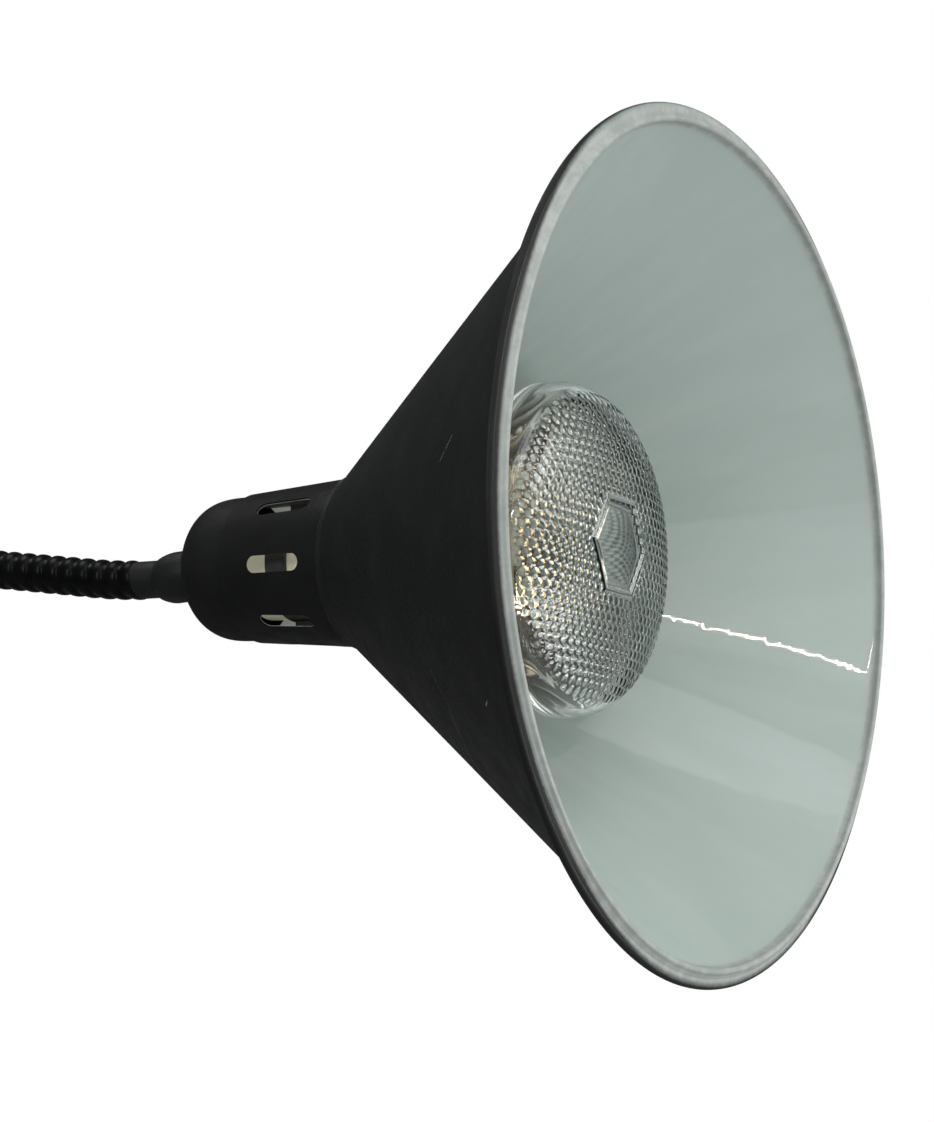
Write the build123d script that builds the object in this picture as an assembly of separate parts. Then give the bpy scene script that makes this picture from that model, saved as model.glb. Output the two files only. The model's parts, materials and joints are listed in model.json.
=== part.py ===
from build123d import *
import math
import os

# Heat lamp: a vented cone shade with a PAR38 lamp, on a flexible gooseneck arm.
# Row frame: origin at the centre of the base flange's seat, +Z up, +X towards the lamp's
# mouth.  The shade and its contents are drawn in the lamp frame: z = 0 at the rim plane,
# z towards the mouth along the lamp's axis, x up, y towards the row's -Y.  Millimetres.

# ---- driving dimensions: shade ----------------------------------------
SHEET = 1.2                 # cone and flange sheet
RIM_R = 152.5               # outer radius over the rolled edge
BEAD_R = 1.6                # rolled edge's own radius
MOUTH_R = 145.8             # inner radius of the rim's front face
CONE_END_R = 33.3           # outer radius of the cone's small end
CONE_END_Z = -142.2
LIP_LENGTH = 2.4            # short cylinder that laps over the neck
FLANGE_BORE_R = 21.0        # opening between cone and neck
NECK_SHEET = 0.9
NECK_FRONT_R = 32.0
NECK_REAR_R = 28.5
NECK_REAR_Z = -190.4
SLOT_COUNT = 8
SLOT_LENGTH = 24.2
SLOT_WIDTH = 6.4
SLOT_Z = -165.2
SLOT_TURN = 1.5             # degrees that the slots stand above the sides
RIM_FILLET = 1.2            # bevel between the rim's front face and the inside
DOME_SHEET = 1.0
DOME_R = 27.5
DOME_LENGTH = 29.4
DOME_LAP = 8.0              # length of the skirt inside the neck
COLLAR_R = 10.0
COLLAR_END_R = 7.75
COLLAR_END_Z = -237.5

# ---- driving dimensions: lamp, E27 cap and holder ----------------------------------------
LAMP_R = 60.2
LENS_EDGE_Z = -62.0
LENS_HEIGHT = 25.5
LENS_GLASS = 3.0
REFLECTOR_GLASS = 2.0
GLASS_NECK_R = 17.0
GLASS_NECK_Z = -141.0
CAP_TOP_Z = -146.0
CAP_R = 13.0
CAP_PITCH = 3.63
CAP_TURNS = 5
LAMP_TIP_Z = -172.5
SHELL_R = 13.3              # inner radius of the holder's screw shell
SHELL_SHEET = 0.7
HOLDER_R = 20.0
HOLDER_FRONT_R = 22.5
HOLDER_SPLIT_Z = -160.0
HOLDER_REAR_Z = -188.0
HOLDER_MOUTH_Z = -145.0
STRAP_PLATE_Z = -205.5      # rear face of the strap's cross plate
STRAP_SHEET = 1.5
STRAP_WIDTH = 10.0
STRAP_INNER = 23.0          # distance of the strap's legs from the axis
NIPPLE_R = 5.0              # M10 x 1 hollow nipple
NIPPLE_BORE_R = 3.6
FLANGE_SCREW_R = 27.6       # radius of the ring of flange screws
FLANGE_HOLE_R = 1.7
HUB_R = 11.0                # the strap's plate widens round the nipple
BAND_Z = -170.0
EARTH_X = 15.0              # distance of the earth screw from the axis
TERMINAL_Y = 10.0           # distance of the terminals from the axis
WIRE_R = 1.0
STEM_TOP_Z = -122.0
FILAMENT_Z = -104.0
FILAMENT_R = 9.0

# ---- driving dimensions: arm ----------------------------------------
ARM_R = 7.6
ARM_BORE_R = 4.6
CABLE_R = 3.4
POST_LENGTH = 100.0         # straight rise above the base flange
BEND_R = 110.0              # radius of the arm's top bend
ARM_SLOPE = 4.0             # degrees that the arm falls towards the lamp
REACH_LENGTH = 66.0         # straight run after the bend
LAMP_TILT = 3.0             # degrees that the lamp's axis rises
LIFT_LENGTH = 30.0          # length of the last bend, which lifts the lamp level
JOINT_COUNT = 8
BALL_R = 12.0               # radius of the ball-shaped section ends
BALL_GAP = 0.4
FERRULE_TOP_Z = 26.0
SEAT_R = 18.0
SEAT_THICKNESS = 5.0
SPIGOT_R = 8.0              # M16 spigot
SPIGOT_LENGTH = 20.0
SPIGOT_BORE_R = 4.2
SOCKET_FLOOR_Z = 8.0        # the arm stands on this ledge in the ferrule
FLAT_DISTANCE = 15.0        # two spanner flats on the seat's edge
SET_SCREW_Z = 14.0
SET_SCREW_R = 2.0
COLLAR_RUN = 30.0           # the cable runs on, straight, through the collar
CABLE_TAIL = 28.5           # cable beyond the arm's flexible length, inside the nipple
CABLE_START_S = -18.0
ARM_END_Z = -241.0          # lamp-frame z of the end of the arm's flexible length
NIPPLE_FRONT_Z = -197.5

os.makedirs("parts", exist_ok=True)


# ---- helpers ----------------------------------------
def spin(*points):
    """Solid of revolution about z from a closed outline of (radius, z) points."""
    outline = Polyline(*[(r, 0, z) for r, z in points], close=True)
    return revolve(make_face(outline), Axis.Z)


def tube(outer, inner, z_low, z_high):
    return spin((inner, z_low), (outer, z_low), (outer, z_high), (inner, z_high))


def rod(radius, z_low, z_high):
    return Pos(0, 0, z_low) * extrude(Circle(radius), z_high - z_low)


def hex_nut(flats, bore, z_low, z_high):
    outline = RegularPolygon(flats / 2, 6, major_radius=False, rotation=30)
    blank = Pos(0, 0, z_low) * extrude(outline, z_high - z_low)
    return blank - rod(bore, z_low - 1, z_high + 1)


def block(x_low, x_high, y_low, y_high, z_low, z_high):
    centre = Pos((x_low + x_high) / 2, (y_low + y_high) / 2, (z_low + z_high) / 2)
    return centre * Box(x_high - x_low, y_high - y_low, z_high - z_low)


def wire(radius, *points):
    """Round wire along straight runs joined by tangent arcs."""
    runs = [math.dist(a, b) for a, b in zip(points, points[1:])]
    bends = [0.4 * min(a, b) for a, b in zip(runs, runs[1:])]
    path = FilletPolyline(*points, radius=bends)
    section = Plane(origin=points[0], z_dir=path % 0) * Circle(radius)
    return sweep(section, path=path)


def save(name, shape, place=None):
    """Write one sub-part; shape is a solid or a list of separate solids."""
    solids = []
    for piece in shape if isinstance(shape, list) else [shape]:
        solids += piece.solids()
    if place is not None:
        solids = [place * solid for solid in solids]
    part = solids[0] if len(solids) == 1 else Compound(children=solids)
    part.label = name
    export_step(part, f"parts/{name}.step")


# ---- the arm's centre line ----------------------------------------
BEND_TURN = 90.0 + ARM_SLOPE
LIFT_TURN = ARM_SLOPE + LAMP_TILT
BEND_LENGTH = BEND_R * math.radians(BEND_TURN)
LIFT_R = LIFT_LENGTH / math.radians(LIFT_TURN)
# each stretch: length, and the turn of the heading in degrees (negative turns downwards)
STRETCHES = [
    (POST_LENGTH, 0.0),
    (BEND_LENGTH, -BEND_TURN),
    (REACH_LENGTH, 0.0),
    (LIFT_LENGTH, LIFT_TURN),
]
ARM_LENGTH = sum(length for length, turn in STRETCHES)
STRETCHES.append((COLLAR_RUN, 0.0))


def arm_point(s):
    """Point of the centre line at length s, and its heading in degrees above +X."""
    x, z, heading = 0.0, 0.0, 90.0
    for index, (length, turn) in enumerate(STRETCHES):
        last = index == len(STRETCHES) - 1
        step = s if last else min(s, length)
        if turn == 0.0:
            x += step * math.cos(math.radians(heading))
            z += step * math.sin(math.radians(heading))
        else:
            radius = length / math.radians(turn)
            after = heading + turn * step / length
            x += radius * (math.sin(math.radians(after)) - math.sin(math.radians(heading)))
            z -= radius * (math.cos(math.radians(after)) - math.cos(math.radians(heading)))
            heading = after
        s -= step
        if s <= 0:
            break
    return Vector(x, 0, z), heading


def arm_path(s_low, s_high):
    """Centre line between two lengths, as lines and arcs."""
    ends = [s_low]
    total = 0.0
    for length, turn in STRETCHES[:-1]:
        total += length
        if s_low + 0.01 < total < s_high - 0.01:
            ends.append(total)
    ends.append(s_high)
    edges = []
    for a, b in zip(ends, ends[1:]):
        start, heading_a = arm_point(a)
        end, heading_b = arm_point(b)
        if abs(heading_a - heading_b) < 1e-6:
            edges.append(Line(start, end))
        else:
            edges.append(ThreePointArc(start, arm_point((a + b) / 2)[0], end))
    return Wire(edges)


def arm_rod(radius, s_low, s_high):
    start, heading = arm_point(s_low)
    along = (math.cos(math.radians(heading)), 0, math.sin(math.radians(heading)))
    section = Plane(origin=start, x_dir=(0, 1, 0), z_dir=along) * Circle(radius)
    return sweep(section, path=arm_path(s_low, s_high))


def arm_piece(radius, s_low, s_high, pivot_low, pivot_high, slack=0.0):
    """Length of rod whose ends are ball-shaped about the pivots, where it has them."""
    if pivot_high is None:
        body = arm_rod(radius, s_low, s_high)
    else:
        body = arm_rod(radius, s_low, pivot_high + BALL_R + 2)
        centre, heading = arm_point(pivot_high)
        beyond = rod(BALL_R - 1, 0, BALL_R + 8) - Sphere(BALL_R - slack)
        body -= Pos(*centre) * Rot(0, 90 - heading, 0) * beyond
    if pivot_low is not None:
        centre, heading = arm_point(pivot_low)
        body -= Pos(*centre) * Rot(0, 90 - heading, 0) * Sphere(BALL_R + BALL_GAP + slack)
    return body


# the lamp frame, at the end of the arm
tilt = math.radians(LAMP_TILT)
lamp_axis = Vector(math.cos(tilt), 0, math.sin(tilt))
lamp_up = Vector(-math.sin(tilt), 0, math.cos(tilt))
rim_centre = arm_point(ARM_LENGTH)[0] - lamp_axis * ARM_END_Z
lamp_frame = Plane(origin=rim_centre, x_dir=lamp_up, z_dir=lamp_axis).location

# ---- base fitting ----------------------------------------
base = spin(
    (SPIGOT_BORE_R, -SPIGOT_LENGTH), (SPIGOT_R - 1, -SPIGOT_LENGTH), (SPIGOT_R, 1 - SPIGOT_LENGTH),
    (SPIGOT_R, 0), (SEAT_R, 0), (SEAT_R, SEAT_THICKNESS - 1), (SEAT_R - 1, SEAT_THICKNESS),
    (11.5, SEAT_THICKNESS), (10.5, 7.0), (10.5, FERRULE_TOP_Z - 4), (ARM_R + 1.4, FERRULE_TOP_Z),
    (ARM_R + 0.05, FERRULE_TOP_Z), (ARM_R + 0.05, SOCKET_FLOOR_Z), (SPIGOT_BORE_R, SOCKET_FLOOR_Z),
)
for side in (-1, 1):
    base -= Pos(side * (FLAT_DISTANCE + 5), 0, SEAT_THICKNESS / 2 + 1) * Box(10, 40, SEAT_THICKNESS)
screw_hole = Pos(0, -9, SET_SCREW_Z) * Rot(90, 0, 0) * extrude(Circle(SET_SCREW_R), 10, both=True)
base -= screw_hole & block(-5, 5, -20, 0, 5, 25)
save("base_fitting", base)

set_screw = Pos(0, -ARM_R - 0.1, SET_SCREW_Z) * Rot(90, 0, 0) * extrude(Circle(SET_SCREW_R), 3.4)
set_screw -= Pos(0, -ARM_R - 3.5, SET_SCREW_Z) * Rot(-90, 0, 0) * extrude(RegularPolygon(1.0, 6), 1.6)
save("base_set_screw", set_screw)

# ---- gooseneck: short sections, each with its length of supply cable ----------------------------------------
flexible = ARM_LENGTH - FERRULE_TOP_Z
pivots = [FERRULE_TOP_Z + flexible * (i + 0.5) / JOINT_COUNT - BALL_R for i in range(JOINT_COUNT)]
for i in range(JOINT_COUNT + 1):
    low = pivots[i - 1] if i > 0 else None
    high = pivots[i] if i < JOINT_COUNT else None
    start = low if low is not None else SOCKET_FLOOR_Z
    end = high if high is not None else ARM_LENGTH
    section = arm_piece(ARM_R, start, end, low, high)
    bore = arm_rod(ARM_BORE_R, max(start - 1, SOCKET_FLOOR_Z - 1), min(end + BALL_R + 3, ARM_LENGTH))
    save(f"gooseneck_section_{i + 1}", section - bore)
    cable_start = low if low is not None else CABLE_START_S
    cable_end = high if high is not None else ARM_LENGTH + CABLE_TAIL
    cable = arm_piece(CABLE_R, cable_start, cable_end, low, high, slack=0.4)
    save(f"supply_cable_{i + 1}", cable)

# a plain sleeve closes the flexible length and stands in the collar
sleeve = tube(ARM_R, ARM_BORE_R, ARM_END_Z + 0.05, ARM_END_Z + 10)
save("arm_end_sleeve", sleeve, lamp_frame)

# ---- collar, nipple and nuts ----------------------------------------
DOME_BACK_Z = NECK_REAR_Z - DOME_LENGTH + 1.2
collar = spin(
    (NIPPLE_R + 0.05, DOME_BACK_Z), (COLLAR_R, DOME_BACK_Z), (COLLAR_R, COLLAR_END_Z + 6),
    (COLLAR_R - 0.7, COLLAR_END_Z + 3), (COLLAR_END_R + 0.7, COLLAR_END_Z + 0.8),
    (COLLAR_END_R + 0.3, COLLAR_END_Z), (ARM_R + 0.05, COLLAR_END_Z),
    (ARM_R + 0.05, ARM_END_Z + 10.1), (NIPPLE_R + 0.05, ARM_END_Z + 10.1),
)
save("arm_collar", collar, lamp_frame)

nipple = tube(NIPPLE_R, NIPPLE_BORE_R, ARM_END_Z + 10.2, NIPPLE_FRONT_Z)
save("arm_nipple", nipple, lamp_frame)
spacer = hex_nut(16.0, NIPPLE_R + 0.05, DOME_BACK_Z + DOME_SHEET, STRAP_PLATE_Z)
save("spacer_nut", spacer, lamp_frame)
plate_front_z = STRAP_PLATE_Z + STRAP_SHEET
washer = tube(8.5, NIPPLE_R + 0.3, plate_front_z, plate_front_z + 1.0)
save("lock_washer", washer, lamp_frame)
nut = hex_nut(14.0, NIPPLE_R + 0.05, plate_front_z + 1.0, plate_front_z + 5.0)
save("nipple_nut", nut, lamp_frame)


# ---- dome ----------------------------------------
def dome_solid(radius, z_start, length, front):
    """Filled dome: a straight skirt that rounds off into a nearly flat back."""
    steps = 10
    points = []
    for k in range(steps + 1):
        s = 0.97 * math.sin(math.pi / 2 * k / steps)
        points.append((radius * (1 - s ** 4.2) ** 0.63, 0, z_start - length * s))
    back = points[-1][2]
    outline = [
        Spline(*points, tangents=[(0, 0, -1), (-1, 0, -0.15)]),
        Line(points[-1], (0, 0, back)),
        Line((0, 0, back), (0, 0, front)),
        Line((0, 0, front), (radius, 0, front)),
        Line((radius, 0, front), points[0]),
    ]
    return revolve(make_face(outline), Axis.Z)


skirt_front = NECK_REAR_Z + DOME_LAP
dome = dome_solid(DOME_R, NECK_REAR_Z, DOME_LENGTH, skirt_front)
dome -= dome_solid(DOME_R - DOME_SHEET, NECK_REAR_Z + DOME_SHEET, DOME_LENGTH, skirt_front + 1)
dome -= rod(NIPPLE_R + 0.1, DOME_BACK_Z - 5, DOME_BACK_Z + 5)
# the collar and the spacer nut clamp on flat seats
dome -= tube(COLLAR_R + 0.05, NIPPLE_R, DOME_BACK_Z - 3, DOME_BACK_Z)
dome -= tube(COLLAR_R, NIPPLE_R, DOME_BACK_Z + DOME_SHEET, DOME_BACK_Z + 4)
save("dome_cap", dome, lamp_frame)

# ---- vented neck ----------------------------------------
neck_front = CONE_END_Z - 0.05
neck = spin(
    (FLANGE_BORE_R, neck_front), (NECK_FRONT_R, neck_front), (NECK_REAR_R, NECK_REAR_Z),
    (NECK_REAR_R - NECK_SHEET, NECK_REAR_Z), (NECK_FRONT_R - NECK_SHEET, neck_front - NECK_SHEET),
    (FLANGE_BORE_R, neck_front - NECK_SHEET),
)
slot = extrude(Plane.YZ * SlotOverall(SLOT_LENGTH, SLOT_WIDTH, rotation=90), 20)
for k in range(SLOT_COUNT):
    turn = 90 - SLOT_TURN + 360 / SLOT_COUNT * k
    neck -= Rot(0, 0, turn) * Pos(20, 0, SLOT_Z) * slot
flange_spots = [Rot(0, 0, 90 * k) * Pos(FLANGE_SCREW_R, 0, 0) for k in range(4)]
flange_holes = [spot * rod(FLANGE_HOLE_R, CONE_END_Z - 5, CONE_END_Z + 5) for spot in flange_spots]
for hole in flange_holes:
    neck -= hole
save("vented_neck", neck, lamp_frame)

# ---- cone shade with its rolled rim ----------------------------------------
slope = (MOUTH_R - CONE_END_R) / (-SHEET - CONE_END_Z)
wall = SHEET * math.hypot(1, slope)     # sheet measured across the axis
bead_centre = RIM_R - BEAD_R
meet = bead_centre - math.sqrt(BEAD_R ** 2 - (BEAD_R - SHEET) ** 2)
lip_inner = NECK_FRONT_R + 0.1
end_inner = CONE_END_R - wall + SHEET * slope
bevel_front = (MOUTH_R - 0.4 + RIM_FILLET, 0, 0)
bevel_back = (MOUTH_R - wall + slope * (SHEET - RIM_FILLET), 0, -RIM_FILLET)
outline = [
    Line(bevel_front, (bead_centre, 0, 0)),
    ThreePointArc((bead_centre, 0, 0), (RIM_R, 0, -BEAD_R), (bead_centre, 0, -2 * BEAD_R)),
    ThreePointArc(
        (bead_centre, 0, -2 * BEAD_R),
        (bead_centre - BEAD_R * math.cos(0.6), 0, -BEAD_R - BEAD_R * math.sin(0.6)),
        (meet, 0, -SHEET),
    ),
    Line((meet, 0, -SHEET), (MOUTH_R, 0, -SHEET)),
    Line((MOUTH_R, 0, -SHEET), (CONE_END_R, 0, CONE_END_Z)),
    Line((CONE_END_R, 0, CONE_END_Z), (CONE_END_R - 0.3, 0, CONE_END_Z - LIP_LENGTH)),
    Line((CONE_END_R - 0.3, 0, CONE_END_Z - LIP_LENGTH), (lip_inner, 0, CONE_END_Z - LIP_LENGTH)),
    Line((lip_inner, 0, CONE_END_Z - LIP_LENGTH), (lip_inner, 0, CONE_END_Z)),
    Line((lip_inner, 0, CONE_END_Z), (FLANGE_BORE_R, 0, CONE_END_Z)),
    Line((FLANGE_BORE_R, 0, CONE_END_Z), (FLANGE_BORE_R, 0, CONE_END_Z + SHEET)),
    Line((FLANGE_BORE_R, 0, CONE_END_Z + SHEET), (end_inner, 0, CONE_END_Z + SHEET)),
    Line((end_inner, 0, CONE_END_Z + SHEET), bevel_back),
    Line(bevel_back, bevel_front),
]
shade = revolve(make_face(outline), Axis.Z)
for hole in flange_holes:
    shade -= hole
save("cone_shade", shade, lamp_frame)

# ---- flange screws and nuts: two hold the strap's feet as well ----------------------------------------
screw_heads_z = CONE_END_Z + SHEET
flange_screws = []
flange_nuts = []
for k, spot in enumerate(flange_spots):
    on_foot = k % 2 == 0
    clamp_z = neck_front - NECK_SHEET - (STRAP_SHEET if on_foot else 0)
    screw = rod(1.45, clamp_z - 4, screw_heads_z) + spin(
        (0, screw_heads_z), (2.8, screw_heads_z), (2.8, screw_heads_z + 1.0),
        (1.8, screw_heads_z + 1.8), (0, screw_heads_z + 2.0),
    )
    screw -= block(-3, 3, -0.4, 0.4, screw_heads_z + 1.1, screw_heads_z + 3)
    flange_screws.append(spot * screw)
    flange_nuts.append(spot * hex_nut(5.5, 1.5, clamp_z - 2.4, clamp_z))
save("flange_screws", flange_screws, lamp_frame)
save("flange_nuts", flange_nuts, lamp_frame)

# ---- mounting strap ----------------------------------------
half = STRAP_WIDTH / 2
foot_z = neck_front - NECK_SHEET
strap_outer = STRAP_INNER + STRAP_SHEET
strap = block(-strap_outer, strap_outer, -half, half, STRAP_PLATE_Z, STRAP_PLATE_Z + STRAP_SHEET)
for side in (0, 180):
    leg = block(STRAP_INNER, strap_outer, -half, half, STRAP_PLATE_Z, foot_z)
    foot = block(STRAP_INNER, FLANGE_SCREW_R + 4, -half, half, foot_z - STRAP_SHEET, foot_z)
    strap += Rot(0, 0, side) * (leg + foot)
strap -= tube(40, FLANGE_SCREW_R + 2.6, foot_z - 5, foot_z + 1)
strap += rod(HUB_R, STRAP_PLATE_Z, STRAP_PLATE_Z + STRAP_SHEET)
strap -= rod(NIPPLE_R + 0.1, STRAP_PLATE_Z - 1, STRAP_PLATE_Z + 4)
for hole in flange_holes:
    strap -= hole
for side in (0, 180):
    strap -= Rot(0, 0, side) * Pos(20, 0, BAND_Z) * Rot(0, 90, 0) * extrude(Circle(1.8), 10)
strap -= Pos(EARTH_X, 0, 0) * rod(1.6, STRAP_PLATE_Z - 1, STRAP_PLATE_Z + 4)
save("mounting_strap", strap, lamp_frame)

# ---- lampholder ----------------------------------------
shell_outer = SHELL_R + SHELL_SHEET
pocket_floor = -182.0
cavity_floor = -171.5
holder = spin(
    (0, HOLDER_REAR_Z), (HOLDER_R - 2, HOLDER_REAR_Z), (HOLDER_R, HOLDER_REAR_Z + 2),
    (HOLDER_R, HOLDER_SPLIT_Z), (shell_outer + 0.05, HOLDER_SPLIT_Z), (shell_outer + 0.05, cavity_floor),
    (6, cavity_floor), (6, pocket_floor), (0, pocket_floor),
)
for side in (-1, 1):
    holder -= Pos(0, side * TERMINAL_Y, 0) * rod(1.7, HOLDER_REAR_Z - 1, cavity_floor + 1)
save("lampholder_body", holder, lamp_frame)

front_ring = spin(
    (shell_outer + 0.05, HOLDER_SPLIT_Z), (HOLDER_FRONT_R, HOLDER_SPLIT_Z),
    (HOLDER_FRONT_R, HOLDER_MOUTH_Z - 1.5), (HOLDER_FRONT_R - 1.5, HOLDER_MOUTH_Z),
    (19.5, HOLDER_MOUTH_Z), (16.5, -149.0), (shell_outer + 0.05, -149.0),
)
save("lampholder_front", front_ring, lamp_frame)
save("screw_shell", tube(shell_outer, SHELL_R, cavity_floor, -149.2), lamp_frame)

CONTACT_Z = LAMP_TIP_Z - 0.05
contact = spin(
    (0, pocket_floor + 1), (2, pocket_floor + 1), (2, CONTACT_Z - 1.4), (4.6, CONTACT_Z - 1.4),
    (4.6, CONTACT_Z), (0, CONTACT_Z),
)
save("centre_contact", contact, lamp_frame)

band_outer = HOLDER_R + 1.25
band = tube(band_outer, HOLDER_R + 0.05, BAND_Z - 4.5, BAND_Z + 4.5)
for side in (0, 180):
    ear = block(HOLDER_R + 0.9, STRAP_INNER, -4, 4, BAND_Z - 3.5, BAND_Z + 3.5)
    band += Rot(0, 0, side) * (ear - rod(HOLDER_R + 0.9, -200, -100))
    band -= Rot(0, 0, side) * Pos(HOLDER_R + 0.5, 0, BAND_Z) * Rot(0, 90, 0) * extrude(Circle(1.55), 10)
save("holder_band", band, lamp_frame)

band_screws = []
shank_length = strap_outer - HOLDER_R - 0.6
for side in (0, 180):
    shank = extrude(Circle(1.5), shank_length)
    head = Pos(0, 0, shank_length) * extrude(Circle(2.9), 1.9)
    screw = Pos(HOLDER_R + 0.6, 0, BAND_Z) * Rot(0, 90, 0) * (shank + head)
    band_screws.append(Rot(0, 0, side) * screw)
save("band_screws", band_screws, lamp_frame)

# terminals on the back of the holder, with their screws and the three conductors
terminals = []
terminal_screws = []
TERMINAL_REAR_Z = HOLDER_REAR_Z - 6.0
for side in (-1, 1):
    y = side * TERMINAL_Y
    body = block(-3.5, 3.5, y - 3, y + 3, TERMINAL_REAR_Z, HOLDER_REAR_Z)
    body += Pos(0, y, 0) * rod(1.6, HOLDER_REAR_Z, cavity_floor - 0.2)
    body -= Pos(0, y, 0) * rod(1.2, TERMINAL_REAR_Z - 1, HOLDER_REAR_Z - 1)
    across = Pos(0, y, TERMINAL_REAR_Z + 2.2) * Rot(0, 90, 0)
    body -= across * extrude(Circle(1.3), 6)
    terminals.append(body)
    clamp_screw = extrude(Circle(1.25), 2.3) + Pos(0, 0, 2.3) * extrude(Circle(2.0), 1.4)
    terminal_screws.append(across * Pos(0, 0, 1.3) * clamp_screw)
save("holder_terminals", terminals, lamp_frame)
save("terminal_screws", terminal_screws, lamp_frame)

wire_in_z = NIPPLE_FRONT_Z - 14
for name, side in (("live_wire", 1), ("neutral_wire", -1)):
    offset = side * 1.3
    route = [
        (-0.9, offset, wire_in_z), (-0.9, offset, NIPPLE_FRONT_Z + 1.8),
        (0, side * TERMINAL_Y, NIPPLE_FRONT_Z + 1.8), (0, side * TERMINAL_Y, TERMINAL_REAR_Z + 2),
    ]
    save(name, wire(WIRE_R, *route), lamp_frame)
earth_route = [
    (1.7, 0, wire_in_z), (1.7, 0, NIPPLE_FRONT_Z + 2.4), (10.8, 0, NIPPLE_FRONT_Z + 2.4),
    (10.8, 0, plate_front_z + 1.8),
]
save("earth_wire", wire(WIRE_R, *earth_route), lamp_frame)
lug = Pos(EARTH_X, 0, 0) * tube(3.4, 1.6, plate_front_z, plate_front_z + 0.8)
lug += block(9.8, EARTH_X - 3, -1.4, 1.4, plate_front_z, plate_front_z + 0.8)
save("earth_lug", lug, lamp_frame)
earth_screw = Pos(EARTH_X, 0, 0) * (
    rod(1.5, STRAP_PLATE_Z - 4, plate_front_z + 0.8) + rod(3.0, plate_front_z + 0.8, plate_front_z + 2.6)
)
save("earth_screw", earth_screw, lamp_frame)
earth_nut = Pos(EARTH_X, 0, 0) * hex_nut(5.5, 1.55, STRAP_PLATE_Z - 2.4, STRAP_PLATE_Z)
save("earth_nut", earth_nut, lamp_frame)


# ---- PAR38 lamp ----------------------------------------
def lens_dome(radius, height):
    """Filled lens: a flat-topped dome with a round shoulder."""
    steps = 9
    points = []
    for k in range(steps + 1):
        r = radius * math.sin(math.pi / 2 * k / steps)
        rise = max(0.0, 1 - (r / radius) ** 2.3) ** 0.303
        points.append((r, 0, LENS_EDGE_Z + height * rise))
    outline = [
        Spline(*points, tangents=[(1, 0, 0), (0, 0, -1)]),
        Line(points[-1], (0, 0, LENS_EDGE_Z)),
        Line((0, 0, LENS_EDGE_Z), points[0]),
    ]
    return revolve(make_face(outline), Axis.Z)


lens = lens_dome(LAMP_R, LENS_HEIGHT) - lens_dome(LAMP_R - LENS_GLASS, LENS_HEIGHT - LENS_GLASS)
save("lamp_lens", lens, lamp_frame)


def reflector_bowl(inset):
    """Filled reflector: a parabola from the glass neck to the lens seat."""
    reach = (LAMP_R ** 2 - GLASS_NECK_R ** 2) / (LENS_EDGE_Z - GLASS_NECK_Z)
    steps = 8
    points = []
    for k in range(steps + 1):
        z = GLASS_NECK_Z + (LENS_EDGE_Z - GLASS_NECK_Z) * (k / steps) ** 1.5
        r = math.sqrt(GLASS_NECK_R ** 2 + reach * (z - GLASS_NECK_Z))
        points.append((r - inset, 0, z))
    neck_end = 14.5 - inset
    outline = [
        Spline(*points),
        Line(points[-1], (0, 0, LENS_EDGE_Z)),
        Line((0, 0, LENS_EDGE_Z), (0, 0, CAP_TOP_Z)),
        Line((0, 0, CAP_TOP_Z), (neck_end, 0, CAP_TOP_Z)),
        Line((neck_end, 0, CAP_TOP_Z), points[0]),
    ]
    return revolve(make_face(outline), Axis.Z)


save("lamp_reflector", reflector_bowl(0) - reflector_bowl(REFLECTOR_GLASS), lamp_frame)

stem = spin(
    (0, CAP_TOP_Z + 0.1), (9, CAP_TOP_Z + 0.1), (6, CAP_TOP_Z + 8), (5, STEM_TOP_Z - 6),
    (3, STEM_TOP_Z), (0, STEM_TOP_Z),
)
save("lamp_stem", stem, lamp_frame)
supports = []
for side in (-1, 1):
    support_route = [
        (side * 1.6, 0, STEM_TOP_Z + 0.1), (side * 2.4, 0, STEM_TOP_Z + 8),
        (side * FILAMENT_R, 0, FILAMENT_Z - 1.6),
    ]
    supports.append(wire(0.6, *support_route))
save("filament_supports", supports, lamp_frame)
filament_path = ThreePointArc(
    (-FILAMENT_R, 0, FILAMENT_Z), (0, -FILAMENT_R, FILAMENT_Z), (FILAMENT_R, 0, FILAMENT_Z),
)
filament_section = Plane(origin=filament_path @ 0, z_dir=filament_path % 0) * Circle(1.1)
filament = sweep(filament_section, path=filament_path)
save("filament", filament, lamp_frame)

# the cap's thread is a row of round ridges
shell_points = [(12.0, CAP_TOP_Z - 0.05), (CAP_R, CAP_TOP_Z - 1.0), (CAP_R, CAP_TOP_Z - 2.4)]
for k in range(CAP_TURNS):
    ridge_z = CAP_TOP_Z - 2.4 - CAP_PITCH * k
    shell_points += [(12.2, ridge_z - CAP_PITCH * 0.5), (CAP_R, ridge_z - CAP_PITCH)]
cap_end_z = shell_points[-1][1]
shell_points += [(11.0, cap_end_z - 1.2), (10.4, cap_end_z - 1.2), (10.4, CAP_TOP_Z - 0.05)]
save("lamp_cap_shell", spin(*shell_points), lamp_frame)
INSULATOR_END_Z = LAMP_TIP_Z + 1.6
insulator = spin(
    (0, cap_end_z - 0.8), (10.3, cap_end_z - 0.8), (10.3, cap_end_z - 1.2),
    (5.0, INSULATOR_END_Z), (0, INSULATOR_END_Z),
)
save("lamp_cap_insulator", insulator, lamp_frame)
tip = spin((0, INSULATOR_END_Z), (4.8, INSULATOR_END_Z), (4.2, LAMP_TIP_Z), (0, LAMP_TIP_Z))
save("lamp_tip_contact", tip, lamp_frame)

# figures that the record states
print("arm length", round(ARM_LENGTH, 3), "rim centre", tuple(round(v, 3) for v in rim_centre))
for i, s in enumerate(pivots):
    point, heading = arm_point(s)
    print("pivot", i + 1, round(point.X, 4), round(point.Z, 4), "heading", round(heading, 4))
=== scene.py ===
"""Looks of a heat lamp on a gooseneck arm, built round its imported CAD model."""
import json
import math

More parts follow.
